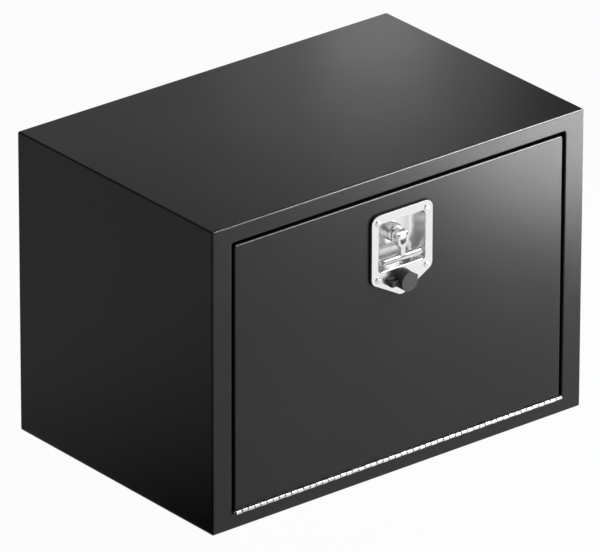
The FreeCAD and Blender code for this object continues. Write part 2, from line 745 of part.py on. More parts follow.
def spindle():
    """Spindle: flat-sided head in the yoke, round journal, square for the pawl and a threaded end."""
    head_start = PLATE_FRONT - SPINDLE_END_PROUD
    head_end = HUB_FRONT - YOKE_HUB_GAP / 2
    half = HEAD_HEIGHT / 2
    outline = [
        (head_start, SPINDLE_Z - half),
        (head_end, SPINDLE_Z - half),
        (head_end, SPINDLE_Z + half),
        (head_start, SPINDLE_Z + half),
    ]
    radii = [HEAD_NOSE_RADIUS, YOKE_HUB_GAP, YOKE_HUB_GAP, HEAD_NOSE_RADIUS]
    head = side_plate(outline, radii, -HEAD_WIDTH / 2, HEAD_WIDTH / 2)
    journal = round_bar(Y_AXIS, Vector(0, head_end, SPINDLE_Z), SPINDLE_RADIUS, PAWL_FRONT - head_end)
    square = square_bar(PAWL_SQUARE, SPINDLE_Z, PAWL_FRONT, PAWL_BACK)
    thread_length = PAWL_WASHER_THICKNESS + PAWL_NUT_THICKNESS + THREAD_END
    start = Vector(0, PAWL_BACK, SPINDLE_Z)
    thread = round_bar(Y_AXIS, start, PAWL_THREAD_RADIUS, thread_length, SMALL_SIDES)
    pin_start = Vector(-HEAD_WIDTH, PIVOT_Y, SPINDLE_Z)
    pin_hole = round_bar(X_AXIS, pin_start, PIVOT_PIN_RADIUS, 2 * HEAD_WIDTH, SMALL_SIDES)
    return head.multiFuse([journal, square, thread]).cut(pin_hole).removeSplitter()


def latch_pawl():
    """Pawl: a plate with a hook that reaches behind the frame's land and a tail that the lock's cam can stop."""
    tip = LAND_LOWER_EDGE + PAWL_OVERLAP
    half = PAWL_WIDTH / 2
    arm = front_plate(
        corners(half, SPINDLE_Z - half, tip), [half * 0.9, half * 0.9, 3.0, 3.0], PAWL_FRONT, PAWL_BACK
    )
    tail_half = PAWL_TAIL_WIDTH / 2
    tail = front_plate(
        corners(tail_half, SPINDLE_Z - PAWL_TAIL_LENGTH, SPINDLE_Z), [3.0] * 4, PAWL_FRONT, PAWL_BACK
    )
    hole = square_bar(PAWL_SQUARE + 2 * PAWL_SQUARE_CLEARANCE, SPINDLE_Z, PAWL_FRONT, PAWL_BACK)
    return arm.fuse(tail).cut(hole).removeSplitter()


def pawl_washer():
    """Flat washer between the pawl and its nut."""
    start = Vector(0, PAWL_BACK, SPINDLE_Z)
    disc = round_bar(Y_AXIS, start, PAWL_WASHER_RADIUS, PAWL_WASHER_THICKNESS, SMALL_SIDES)
    return disc.cut(round_bar(Y_AXIS, start, PAWL_THREAD_RADIUS, PAWL_WASHER_THICKNESS, SMALL_SIDES))


def pawl_nut():
    """Nut on the spindle's threaded end."""
    start = PAWL_BACK + PAWL_WASHER_THICKNESS
    nut = hexagon(PAWL_NUT_ACROSS_FLATS, 0, SPINDLE_Z, start, start + PAWL_NUT_THICKNESS)
    hole_start = Vector(0, start, SPINDLE_Z)
    return nut.cut(round_bar(Y_AXIS, hole_start, PAWL_THREAD_RADIUS, PAWL_NUT_THICKNESS, SMALL_SIDES))


def handle_pivot_pin():
    """Cross pin through the spindle head, sunk a little in the yoke's cheeks."""
    half = YOKE_WIDTH / 2 - PIVOT_PIN_RECESS
    return round_bar(X_AXIS, Vector(-half, PIVOT_Y, SPINDLE_Z), PIVOT_PIN_RADIUS, 2 * half, SMALL_SIDES)


def t_handle():
    """Cast T-handle: a forked yoke round the spindle head, a short stem and a round cross bar."""
    yoke_half = YOKE_WIDTH / 2
    stem_back = YOKE_FRONT + STEM_DEPTH
    across = stem_back - PIVOT_Y
    distance = math.hypot(across, YOKE_BOTTOM_DROP)
    toward = math.atan2(-YOKE_BOTTOM_DROP, across)
    touch = toward + math.acos(YOKE_RADIUS / distance)
    cheek = Part.makePolygon(
        [
            Vector(-yoke_half, YOKE_FRONT, SPINDLE_Z),
            Vector(-yoke_half, YOKE_FRONT, SPINDLE_Z - YOKE_BOTTOM_DROP),
            Vector(-yoke_half, stem_back, SPINDLE_Z - YOKE_BOTTOM_DROP),
            Vector(
                -yoke_half,
                PIVOT_Y + YOKE_RADIUS * math.cos(touch),
                SPINDLE_Z + YOKE_RADIUS * math.sin(touch),
            ),
            Vector(-yoke_half, PIVOT_Y, SPINDLE_Z),
            Vector(-yoke_half, YOKE_FRONT, SPINDLE_Z),
        ]
    )
    side_form = Part.Face(cheek).extrude(Vector(YOKE_WIDTH, 0, 0))
    eye = round_bar(X_AXIS, Vector(-yoke_half, PIVOT_Y, SPINDLE_Z), YOKE_RADIUS, YOKE_WIDTH)
    side_form = side_form.fuse(eye).removeSplitter()
    margin = 2 * YOKE_RADIUS
    front_form = front_plate(
        corners(yoke_half, SPINDLE_Z - YOKE_BOTTOM_DROP, SPINDLE_Z + margin),
        [YOKE_SHOULDER_RADIUS, YOKE_SHOULDER_RADIUS, 1.0, 1.0],
        YOKE_FRONT - margin,
        PIVOT_Y + margin,
    )
    slot_half = HEAD_WIDTH / 2 + YOKE_SLOT_CLEARANCE
    slot = front_plate(
        corners(slot_half, SPINDLE_Z - YOKE_CROTCH_DROP, SPINDLE_Z + margin),
        [slot_half * 0.98, slot_half * 0.98, 1.0, 1.0],
        YOKE_FRONT - margin,
        PIVOT_Y + margin,
    )
    yoke = side_form.common(front_form).cut(slot)
    bar_y = YOKE_FRONT + BAR_BEHIND_YOKE_FRONT
    bar_z = SPINDLE_Z - BAR_DROP
    stem = box(
        (-STEM_WIDTH / 2, STEM_WIDTH / 2), (YOKE_FRONT, stem_back), (bar_z, SPINDLE_Z - YOKE_BOTTOM_DROP + 1)
    )
    edge = BAR_END_RADIUS
    bar_profile = [
        (BAR_RADIUS - edge, 0),
        (BAR_RADIUS - edge * 0.29, edge * 0.29),
        (BAR_RADIUS, edge),
        (BAR_RADIUS, BAR_LENGTH - edge),
        (BAR_RADIUS - edge * 0.29, BAR_LENGTH - edge * 0.29),
        (BAR_RADIUS - edge, BAR_LENGTH),
    ]
    bar = turned(X_AXIS, Vector(-BAR_LENGTH / 2, bar_y, bar_z), bar_profile)
    handle = yoke.multiFuse([stem, bar]).removeSplitter()
    pin_start = Vector(-yoke_half, PIVOT_Y, SPINDLE_Z)
    pin_hole = round_bore(X_AXIS, pin_start, PIVOT_PIN_RADIUS + PIVOT_CLEARANCE, YOKE_WIDTH, SMALL_SIDES)
    return handle.cut(pin_hole)


def lock_housing():
    """Lock body: a round head that seats on the plate and a flat-sided barrel behind it."""
    start = Vector(0, LOCK_FACE, LOCK_Z)
    profile = [
        (LOCK_HEAD_RADIUS - LOCK_HEAD_CHAMFER, 0),
        (LOCK_HEAD_RADIUS, LOCK_HEAD_CHAMFER),
        (LOCK_HEAD_RADIUS, LOCK_HEAD_HEIGHT),
    ]
    head = turned(Y_AXIS, start, profile)
    barrel = double_d(LOCK_BARREL_RADIUS, LOCK_BARREL_FLAT, PLATE_FRONT, PLATE_FRONT + LOCK_BARREL_LENGTH)
    length = LOCK_HEAD_HEIGHT + LOCK_BARREL_LENGTH
    bore = round_bore(Y_AXIS, start, PLUG_RADIUS + PLUG_CLEARANCE, length)
    return head.fuse(barrel).cut(bore).removeSplitter()


def lock_housing_nut():
    """Nut that clamps the lock to the door from behind."""
    start = FRONT + SHEET
    nut = hexagon(LOCK_NUT_ACROSS_FLATS, 0, LOCK_Z, start, start + LOCK_NUT_THICKNESS)
    return nut.cut(double_d(LOCK_BARREL_RADIUS, LOCK_BARREL_FLAT, start, start + LOCK_NUT_THICKNESS))


def lock_plug():
    """The plug that the key turns, with its keyway, cam square and threaded tail."""
    plug = round_bar(Y_AXIS, Vector(0, LOCK_FACE, LOCK_Z), PLUG_RADIUS, PAWL_FRONT - LOCK_FACE)
    square = square_bar(CAM_SQUARE, LOCK_Z, PAWL_FRONT, PAWL_FRONT + CAM_THICKNESS)
    tail_start = Vector(0, PAWL_FRONT + CAM_THICKNESS, LOCK_Z)
    tail = round_bar(Y_AXIS, tail_start, PAWL_THREAD_RADIUS, CAM_NUT_THICKNESS + THREAD_END, SMALL_SIDES)
    keyway = box(
        (-KEYWAY_WIDTH / 2, KEYWAY_WIDTH / 2),
        (LOCK_FACE, LOCK_FACE + KEYWAY_DEPTH),
        (LOCK_Z - KEYWAY_HEIGHT / 2, LOCK_Z + KEYWAY_HEIGHT / 2),
    )
    return plug.multiFuse([square, tail]).cut(keyway).removeSplitter()


def lock_cam():
    """Cam on the plug: an offset finger that the plug turns up beside the pawl's tail."""
    finger_near = PAWL_TAIL_WIDTH / 2 + CAM_PAWL_GAP
    finger_far = finger_near + CAM_FINGER_WIDTH
    back = PAWL_FRONT + CAM_THICKNESS
    disc_half = CAM_SQUARE
    disc = front_plate(
        corners(disc_half, LOCK_Z - finger_far, LOCK_Z + disc_half),
        [1.0, 1.0, disc_half * 0.9, disc_half * 0.9],
        PAWL_FRONT,
        back,
    )
    points = [
        (-disc_half, LOCK_Z - finger_far),
        (CAM_REACH, LOCK_Z - finger_far),
        (CAM_REACH, LOCK_Z - finger_near),
        (-disc_half, LOCK_Z - finger_near),
    ]
    finger = front_plate(points, [1.0, 1.5, 1.5, 1.0], PAWL_FRONT, back)
    hole = square_bar(CAM_SQUARE + 2 * PAWL_SQUARE_CLEARANCE, LOCK_Z, PAWL_FRONT, back)
    return disc.fuse(finger).cut(hole).removeSplitter()


def cam_nut():
    """Nut that holds the cam on the plug."""
    start = PAWL_FRONT + CAM_THICKNESS
    nut = hexagon(CAM_NUT_ACROSS_FLATS, 0, LOCK_Z, start, start + CAM_NUT_THICKNESS)
    hole_start = Vector(0, start, LOCK_Z)
    return nut.cut(round_bar(Y_AXIS, hole_start, PAWL_THREAD_RADIUS, CAM_NUT_THICKNESS, SMALL_SIDES))


def cap_collar():
    """Rubber collar round the lock head, with an ear to the left that carries the cap's strap."""
    centre = Vector(0, COLLAR_FRONT, LOCK_Z)
    collar = round_bar(Y_AXIS, centre, CAP_RADIUS, COLLAR_THICKNESS)
    half = EAR_HEIGHT / 2
    points = [
        (-EAR_REACH, LOCK_Z - half),
        (-CAP_RADIUS / 2, LOCK_Z - half),
        (-CAP_RADIUS / 2, LOCK_Z + half),
        (-EAR_REACH, LOCK_Z + half),
    ]
    ear = front_plate(points, [EAR_END_RADIUS, 1.0, 1.0, EAR_END_RADIUS], COLLAR_FRONT, PLATE_FRONT)
    bore = round_bore(Y_AXIS, centre, LOCK_HEAD_RADIUS + COLLAR_LOCK_GAP, COLLAR_THICKNESS)
    return collar.fuse(ear).cut(bore).removeSplitter()


def cap_strap():
    """Rubber strap that bends forward from the ear's end and returns to the side of the cap."""
    left = -EAR_REACH
    right = -CAP_RADIUS - STRAP_CAP_GAP
    front = COLLAR_FRONT - STRAP_FORWARD
    bottom = LOCK_Z - STRAP_HEIGHT / 2

    def place(flat):
        return Vector(flat.x, flat.y, bottom)

    outer = [(left, COLLAR_FRONT), (left, front), (right, front), (right, COLLAR_FRONT)]
    inner = [
        (left + STRAP_THICKNESS, COLLAR_FRONT + 1),
        (left + STRAP_THICKNESS, front + STRAP_THICKNESS),
        (right + 1, front + STRAP_THICKNESS),
        (right + 1, COLLAR_FRONT + 1),
    ]
    small = STRAP_BEND_RADIUS / 4
    block = Part.Face(rounded_wire(outer, [small, STRAP_BEND_RADIUS, small, small], place))
    block = block.extrude(Vector(0, 0, STRAP_HEIGHT))
    hollow = Part.Face(rounded_wire(inner, [small] * 4, place)).extrude(Vector(0, 0, STRAP_HEIGHT))
    return block.cut(hollow)


def lock_cap():
    """Rubber cap, hollow over the lock head, with a moulded flat and a small pull tab at its front."""
    length = CAP_RIM - CAP_FRONT
    start = Vector(0, CAP_FRONT, LOCK_Z)
    profile = [
        (CAP_RADIUS - CAP_EDGE_CHAMFER, 0),
        (CAP_RADIUS, CAP_EDGE_CHAMFER),
        (CAP_RADIUS, length),
    ]
    body = turned(Y_AXIS, start, profile)
    tab_points = [
        (CAP_RADIUS / 2, LOCK_Z - CAP_TAB_HEIGHT / 3),
        (CAP_TAB_REACH, LOCK_Z - CAP_TAB_HEIGHT / 3),
        (CAP_TAB_REACH, LOCK_Z + CAP_TAB_HEIGHT * 2 / 3),
        (CAP_RADIUS / 2, LOCK_Z + CAP_TAB_HEIGHT * 2 / 3),
    ]
    tab = front_plate(tab_points, [0.8] * 4, CAP_FRONT, CAP_FRONT + CAP_TAB_THICKNESS)
    flat_cut = box(
        (-2 * CAP_RADIUS, 2 * CAP_RADIUS),
        (CAP_FRONT - 1, CAP_RIM),
        (LOCK_Z + CAP_FLAT_DISTANCE, LOCK_Z + 2 * CAP_RADIUS),
    )
    flat_cut.rotate(Vector(0, 0, LOCK_Z), Y_AXIS, CAP_FLAT_ANGLE)
    bore = round_bar(Y_AXIS, start + Y_AXIS * CAP_WALL, CAP_RADIUS - CAP_WALL, length - CAP_WALL)
    return body.fuse(tab).cut(flat_cut).cut(bore).removeSplitter()


def chord(door_angle):
    """Distance from the door's stay pivot to the fixed stud when the door stands at an angle."""
    return 2 * STAY_RADIUS * math.sin(math.radians(STAY_REST_ANGLE + door_angle) / 2)


def slot_shape(start, end, half_width, x_range):
    """A long form with round ends along the stay's centre line, measured from the door's pivot."""
    first = ring(X_AXIS, Vector(x_range[0], start, 0), half_width, SMALL_SIDES)
    last = ring(X_AXIS, Vector(x_range[0], end, 0), half_width, SMALL_SIDES)
    outline = [point for point in last if point.y > end] + [point for point in first if point.y < start]
    outline.sort(key=lambda point: math.atan2(point.z, point.y - (start + end) / 2))
    return flat_face(outline).extrude(Vector(x_range[1] - x_range[0], 0, 0))


def stay_arm():
    """Left stay: a flat bar pinned to the door, with a slot that runs over the stud in the cabinet."""
    x_range = (-STAY_OUTER, -STAY_INNER)
    stop = chord(DOOR_OPEN_ANGLE) + STUD_STOP_CLEARANCE
    arm = slot_shape(0, stop, STAY_WIDTH / 2, x_range)
    slot = slot_shape(chord(0) - STUD_STOP_CLEARANCE, stop, STUD_RADIUS + STUD_SLOT_CLEARANCE, x_range)
    eye_start = Vector(x_range[0], 0, 0)
    eye = round_bore(X_AXIS, eye_start, STUD_RADIUS + STUD_HOLE_CLEARANCE, STAY_THICKNESS, SMALL_SIDES)
    arm = arm.cut(slot).cut(eye)
    rest_slope = math.degrees(math.atan2(STUD_Z - STAY_Z, STUD_Y - STAY_Y))
    arm.rotate(Vector(0, 0, 0), X_AXIS, rest_slope)
    arm.translate(Vector(0, STAY_Y, STAY_Z))
    return arm


def stay_bracket():
    """Left stay bracket: an angle plate with its foot welded to the back of the frame's land."""
    outer = LAND_HALF + SHEET + BRACKET_SHEET
    inner = outer - BRACKET_SHEET
    foot_half = BRACKET_FOOT_HEIGHT / 2
    points = [
        (LAND_BACK, STUD_Z - foot_half),
        (STUD_Y + BRACKET_END_RADIUS, STUD_Z - BRACKET_END_RADIUS),
        (STUD_Y + BRACKET_END_RADIUS, STUD_Z + BRACKET_END_RADIUS),
        (LAND_BACK, STUD_Z + foot_half),
    ]
    radii = [0.5, BRACKET_END_RADIUS * 0.95, BRACKET_END_RADIUS * 0.95, 0.5]
    web = side_plate(points, radii, -outer, -inner)
    foot = box(
        (-inner - BRACKET_FOOT, -inner),
        (LAND_BACK, LAND_BACK + BRACKET_SHEET),
        (STUD_Z - foot_half + 1, STUD_Z + foot_half - 1),
    )
    hole = round_bar(X_AXIS, Vector(-outer, STUD_Y, STUD_Z), STUD_RADIUS, BRACKET_SHEET, SMALL_SIDES)
    return web.fuse(foot).cut(hole).removeSplitter()


def shouldered_stud(y, z, from_x, to_x, head_x, collar_range):
    """A stud along X with a head at one end and, where asked, a collar that spaces the stay."""
    low = min(from_x, to_x)
    stud = round_bar(X_AXIS, Vector(low, y, z), STUD_RADIUS, abs(to_x - from_x), SMALL_SIDES)
    head = round_bar(X_AXIS, Vector(head_x, y, z), STUD_HEAD_RADIUS, STUD_HEAD_THICKNESS, SMALL_SIDES)
    pieces = [head]
    if collar_range:
        length = collar_range[1] - collar_range[0]
        collar_start = Vector(collar_range[0], y, z)
        pieces.append(round_bar(X_AXIS, collar_start, STUD_COLLAR_RADIUS, length, SMALL_SIDES))
    return stud.multiFuse(pieces).removeSplitter()


def stay_studs():
    """The two fixed studs that the stays slide over, riveted in the brackets."""
    web_outer = -(LAND_HALF + SHEET + BRACKET_SHEET)
    web_inner = web_outer + BRACKET_SHEET
    collar = (web_inner, -STAY_OUTER - STAY_SIDE_CLEARANCE)
    head_x = -STAY_INNER + STAY_SIDE_CLEARANCE
    left = shouldered_stud(STUD_Y, STUD_Z, web_outer, head_x, head_x, collar)
    return Part.makeCompound([left, mirrored(left)])


def door_stay_bracket():
    """Left bracket on the door's inner panel that carries the stay's pivot."""
    outer = STAY_INNER - STAY_SIDE_CLEARANCE
    inner = outer - BRACKET_SHEET
    half = DOOR_BRACKET_HEIGHT / 2
    points = [
        (DOOR_BACK, STAY_Z - half),
        (STAY_Y + DOOR_BRACKET_RADIUS, STAY_Z - DOOR_BRACKET_RADIUS),
        (STAY_Y + DOOR_BRACKET_RADIUS, STAY_Z + DOOR_BRACKET_RADIUS),
        (DOOR_BACK, STAY_Z + half),
    ]
    radii = [0.5, DOOR_BRACKET_RADIUS * 0.9, DOOR_BRACKET_RADIUS * 0.9, 0.5]
    web = side_plate(points, radii, -outer, -inner)
    foot = box(
        (-inner, -inner + DOOR_BRACKET_FOOT),
        (DOOR_BACK, DOOR_BACK + BRACKET_SHEET),
        (STAY_Z - half + 1, STAY_Z + half - 1),
    )
    hole = round_bar(X_AXIS, Vector(-outer, STAY_Y, STAY_Z), STUD_RADIUS, BRACKET_SHEET, SMALL_SIDES)
    return web.fuse(foot).cut(hole).removeSplitter()


def door_stay_pins():
    """The two rivet pins that join the stays to the door brackets."""
    web_inner = -(STAY_INNER - STAY_SIDE_CLEARANCE - BRACKET_SHEET)
    head_end = -STAY_OUTER - STAY_SIDE_CLEARANCE
    head_radius = DOOR_BRACKET_RADIUS * 0.8
    low = head_end - STUD_HEAD_THICKNESS * 0.8
    start = Vector(low, STAY_Y, STAY_Z)
    profile = [
        (head_radius, 0),
        (head_radius, head_end - low),
        (STUD_RADIUS, head_end - low),
        (STUD_RADIUS, web_inner - low),
        (head_radius * 0.9, web_inner - low),
        (head_radius * 0.9, web_inner - low + STUD_HEAD_THICKNESS),
    ]
    left = turned(X_AXIS, start, profile, SMALL_SIDES)
    return Part.makeCompound([left, mirrored(left)])


def main():
    os.makedirs("parts", exist_ok=True)
    skin = cabinet_skin()
    left_end = end_panel(skin)
    left_arm = stay_arm()
    left_bracket = stay_bracket()
    left_door_bracket = door_stay_bracket()
    pieces = {
        "front_frame": front_frame(skin),
        "end_panel_left": left_end,
        "end_panel_right": mirrored(left_end),
        "body_wrap": body_wrap(skin),
        "door_seal": door_seal(),
        "hinge_leaf_cabinet": hinge_leaf(0, False),
        "hinge_leaf_door": hinge_leaf(1, True),
        "hinge_pin": hinge_pin(),
        "door_skin": door_skin(),
        "door_inner_panel": door_inner_panel(),
        "latch_gasket": latch_gasket(),
        "latch_pan": latch_pan(),
        "latch_rivets": latch_rivets(),
        "spindle_hub": spindle_hub(),
        "spindle_hub_nut": spindle_hub_nut(),
        "spindle": spindle(),
        "latch_pawl": latch_pawl(),
        "pawl_washer": pawl_washer(),
        "pawl_nut": pawl_nut(),
        "handle_pivot_pin": handle_pivot_pin(),
        "t_handle": t_handle(),
        "lock_housing": lock_housing(),
        "lock_housing_nut": lock_housing_nut(),
        "lock_plug": lock_plug(),
        "lock_cam": lock_cam(),
        "cam_nut": cam_nut(),
        "cap_collar": cap_collar(),
        "cap_strap": cap_strap(),
        "lock_cap": lock_cap(),
        "stay_arm_left": left_arm,
        "stay_arm_right": mirrored(left_arm),
        "stay_bracket_left": left_bracket,
        "stay_bracket_right": mirrored(left_bracket),
        "stay_studs": stay_studs(),
        "door_stay_bracket_left": left_door_bracket,
        "door_stay_bracket_right": mirrored(left_door_bracket),
        "door_stay_pins": door_stay_pins(),
    }
    for name, shape in pieces.items():
        save(name, shape)


main()
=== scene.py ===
"""Looks of the steel tool cabinet: pressed and rolled forms, finishes, studio and camera.

The pieces' sizes are millimetres in the cabinet's own frame, and are turned to metres where a mesh is made.
The studio, the grain and relief of the finishes and the cells of the softened pieces are in metres.
"""

import math

import bmesh
import bpy
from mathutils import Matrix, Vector


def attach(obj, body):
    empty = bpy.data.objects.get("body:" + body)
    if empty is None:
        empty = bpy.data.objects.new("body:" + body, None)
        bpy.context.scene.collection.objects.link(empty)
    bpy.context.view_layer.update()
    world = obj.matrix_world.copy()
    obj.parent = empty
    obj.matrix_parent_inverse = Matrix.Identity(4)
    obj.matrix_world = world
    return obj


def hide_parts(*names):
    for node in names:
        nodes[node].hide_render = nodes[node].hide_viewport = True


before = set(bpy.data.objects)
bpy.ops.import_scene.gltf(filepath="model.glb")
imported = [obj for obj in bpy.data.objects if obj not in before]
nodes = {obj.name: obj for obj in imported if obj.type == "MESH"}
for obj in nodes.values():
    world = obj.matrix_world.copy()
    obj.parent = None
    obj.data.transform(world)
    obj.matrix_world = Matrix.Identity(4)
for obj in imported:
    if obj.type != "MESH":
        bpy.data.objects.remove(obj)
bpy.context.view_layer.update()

# ---- Studio ----
# The camera stands far off to the left of the front and a little above, so that edges run almost parallel.
# The floor is plain white paper. Soft boxes stand to the right and behind, and two lamps that show in gloss
# alone draw the bright lines along the pressed edges of the front.
IMAGE_WIDTH = 600
FOCAL_PIXELS = 9924
FRONT_TOP = (0, -0.2, 0.42)
FRONT_RIGHT = (0.28, -0.216, 0.42)
TOP_BACK_RIGHT = (0.3, 0.19, 0.457)

camera_data = bpy.data.cameras.new("camera")
camera_data.sensor_width = 36
camera_data.lens = FOCAL_PIXELS * camera_data.sensor_width / IMAGE_WIDTH
camera_data.clip_end = 200
camera = bpy.data.objects.new("camera", camera_data)
camera.location = (-7.9079, -9.7299, 6.0479)
camera.rotation_euler = [math.radians(angle) for angle in (65.0667, -0.1203, -39.0387)]
bpy.context.scene.collection.objects.link(camera)
bpy.context.scene.camera = camera
bpy.context.scene.view_settings.view_transform = "Standard"


def soft_box(name, place, aim, width, height, power, gloss_only=False):
    """A rectangular lamp that faces a point; one for gloss only adds glints along bends and no flat light."""
    data = bpy.data.lights.new(name, "AREA")
    data.shape = "RECTANGLE"
    data.size = width
    data.size_y = height
    data.energy = power
    lamp = bpy.data.objects.new(name, data)
    lamp.location = place
    lamp.rotation_euler = (Vector(aim) - Vector(place)).to_track_quat("-Z", "Y").to_euler()
    lamp.visible_camera = False
    lamp.visible_diffuse = not gloss_only
    bpy.context.scene.collection.objects.link(lamp)
    return lamp


soft_box("key", (0.92, -0.86, 1.56), FRONT_TOP, 0.7, 0.45, 14)
edge_lamps = [
    soft_box("glint_high", (1.24, -0.86, 1.50), FRONT_TOP, 1.0, 0.6, 105, gloss_only=True),
    soft_box("glint_low", (0.98, -1.00, 0.62), (0.29, -0.2, 0.42), 0.35, 0.35, 9, gloss_only=True),
]
pressed_fronts = bpy.data.collections.new("pressed_fronts")
for lamp in edge_lamps:
    lamp.light_linking.receiver_collection = pressed_fronts
right_lamps = [
    soft_box("right_low", (0.80, -0.76, 0.10), FRONT_RIGHT, 0.34, 0.30, 4.0),
    soft_box("right_wide", (1.05, -1.00, 0.08), FRONT_RIGHT, 0.70, 0.30, 8.0),
    soft_box("right_side", (1.20, -0.40, 0.12), (0.29, -0.216, 0.42), 0.35, 0.24, 4.0),
]
skipped_by_right = bpy.data.collections.new("skipped_by_right")
for lamp in right_lamps:
    lamp.light_linking.receiver_collection = skipped_by_right
soft_box("back_near", (0.60, 0.56, 0.66), TOP_BACK_RIGHT, 0.16, 0.16, 0.095)
soft_box("back_right", (0.78, 0.78, 0.80), TOP_BACK_RIGHT, 0.40, 0.30, 0.37)
soft_box("back_wide", (1.1, 1.15, 1.0), (0.1, 0.0, 0.457), 0.7, 0.4, 0.07)
soft_box("back_left", (0.30, 0.85, 0.80), (0.0, 0.19, 0.457), 0.50, 0.26, 0.21)


class Level:
    """One value or colour that runs through a finish; sums and products of values add the maths they need."""

    def __init__(self, finish, socket):
        self.finish = finish
        self.socket = socket

    def maths(self, operation, *values):
        return self.finish.node("ShaderNodeMath", {"operation": operation}, dict(enumerate(values)))

    def __add__(self, other):
        return self.maths("ADD", self, other)

    def __mul__(self, other):
        return self.maths("MULTIPLY", self, other)

    __radd__ = __add__
    __rmul__ = __mul__


class Finish:
    """A surface finish made of nodes; every node comes from the one method below."""

    MIX_SHARE, MIX_DARK, MIX_LIGHT, MIX_COLOUR = 0, 6, 7, 2

    def __init__(self, name):
        self.material = bpy.data.materials.new(name)
        self.material.use_nodes = True
        self.tree = self.material.node_tree
        self.tree.nodes.clear()

    def node(self, kind, settings=None, sockets=None, output=0):
        """A node of a kind, with its settings made first, then the values or levels of its sockets."""
        made = self.tree.nodes.new(kind)
        for name, value in (settings or {}).items():
            setattr(made, name, value)
        for name, value in (sockets or {}).items():
            if isinstance(value, Level):
                self.tree.links.new(value.socket, made.inputs[name])
            else:
                made.inputs[name].default_value = value
        return Level(self, made.outputs[output]) if made.outputs else None

    def places(self, stretch=(1, 1, 1)):
        """The object's own coordinates in metres, stretched so that grain can run along one axis."""
        plain = self.node("ShaderNodeTexCoord", output="Object")
        return self.node("ShaderNodeVectorMath", {"operation": "MULTIPLY"}, {0: plain, 1: stretch})

    def noise(self, places, scale, detail, roughness):
        """Soft random patches, from 0 to 1."""
        sockets = {"Vector": places, "Scale": scale, "Detail": detail, "Roughness": roughness}
        return self.node("ShaderNodeTexNoise", None, sockets)

    def shades(self, share, dark, light):
        """A colour between two, by a share."""
        sockets = {self.MIX_SHARE: share, self.MIX_DARK: dark + (1,), self.MIX_LIGHT: light + (1,)}
        return self.node("ShaderNodeMix", {"data_type": "RGBA"}, sockets, self.MIX_COLOUR)

    def fade(self, value, start, end, first, last):
        """A value that runs from one level to another between two places."""
        sockets = {"Value": value, "From Min": start, "From Max": end, "To Min": first, "To Max": last}
        return self.node("ShaderNodeMapRange", None, sockets)

    def bump(self, height, depth, strength):
        """Small relief of a real depth in metres."""
        sockets = {"Height": height, "Distance": depth, "Strength": strength}
        return self.node("ShaderNodeBump", None, sockets)

    def close(self, shader):
        """The material, once its shader is joined to the output."""
        self.node("ShaderNodeOutputMaterial", None, {"Surface": shader})
        return self.material

    def surface(self, **sockets):
        """A solid surface from the values or levels of its shader's sockets."""
        named = {name.replace("_", " "): value for name, value in sockets.items()}
        return self.close(self.node("ShaderNodeBsdfPrincipled", None, named))


PAPER_SIZE = 60
PAPER_BELOW = 0.0005
PAPER_GLOW_SHARE = 0.965


def studio_floor():
    """White paper that shows as white to the eye and in gloss, and still takes the cabinet's shadow."""
    finish = Finish("white_paper")
    camera_ray = finish.node("ShaderNodeLightPath", output="Is Camera Ray")
    glossy_ray = finish.node("ShaderNodeLightPath", output="Is Glossy Ray")
    glass_ray = finish.node("ShaderNodeLightPath", output="Is Transmission Ray")
    fibre = finish.noise(finish.places(), 40, 2, 0.5)
    colour = finish.shades(fibre, (0.84,) * 3, (0.88,) * 3)
    paper = finish.node("ShaderNodeBsdfDiffuse", None, {"Color": colour})
    glow = finish.node("ShaderNodeEmission", None, {"Strength": 1.0})
    share = (camera_ray + glossy_ray + glass_ray) * PAPER_GLOW_SHARE
    mixed = finish.node("ShaderNodeMixShader", None, {0: share, 1: paper, 2: glow})
    bpy.ops.mesh.primitive_plane_add(size=PAPER_SIZE, location=(0, 0, -PAPER_BELOW))
    floor = bpy.context.object
    floor.name = "floor"
    floor.data.materials.append(finish.close(mixed))


studio_floor()

CARD_NEAR_END = [(-0.332, -0.42, 0.0008), (-1.15, -1.08, 0.0008), (-1.15, -1.08, 1.0)]
CARD_FAR_Y = 1.7


def painted_shade_card():
    """A glowing grey card folded along its foot; its glow is painted shade, dim near the front and brighter
    behind. Gloss on the left side mirrors it, and the eye never sees it.
    """
    finish = Finish("painted_shade_card")
    along = finish.node("ShaderNodeSeparateXYZ", None, {"Vector": finish.places()}, "Y")
    # Painted shade: the card's glow is dimmest just ahead of the cabinet's front and brighter towards the
    # back, so that the left side's reflection is dark.
    shade = finish.fade(along, -0.18, 0.36, 0.028, 0.41) + finish.fade(along, -0.60, -0.22, 0.15, 0.0)
    painted_shade_glow = finish.node("ShaderNodeEmission", None, {"Color": shade, "Strength": 1.0})
    mesh = bmesh.new()
    near = [mesh.verts.new(point) for point in CARD_NEAR_END]
    far = [mesh.verts.new((x, CARD_FAR_Y, z)) for x, y, z in CARD_NEAR_END]
    for index in range(len(near) - 1):
        mesh.faces.new((near[index], near[index + 1], far[index + 1], far[index]))
    data = bpy.data.meshes.new("painted_shade_card")
    mesh.to_mesh(data)
    mesh.free()
    data.materials.append(finish.close(painted_shade_glow))
    card = bpy.data.objects.new("painted_shade_card", data)
    bpy.context.scene.collection.objects.link(card)
    card.visible_camera = False
    card.visible_shadow = False
    card.visible_diffuse = False


painted_shade_card()

WORLD_STRENGTH = 0.12
world = bpy.data.worlds.new("studio")
bpy.context.scene.world = world
world.use_nodes = True
air = world.node_tree.nodes["Background"].inputs
air["Color"].default_value = (1, 1, 1, 1)
air["Strength"].default_value = WORLD_STRENGTH

# ---- Body: wrap and end panels ----
# Sheet steel 1.5 mm thick: top, back and bottom are bent from one sheet, and a shallow pan closes each end.
# The seams are welded and dressed, and the whole body is powder coated black with a fine orange peel.
COAT_TONE = 0.011
COAT_IOR = 1.355
COAT_ROUGHNESS = 0.24
COAT_GRIT = 2600


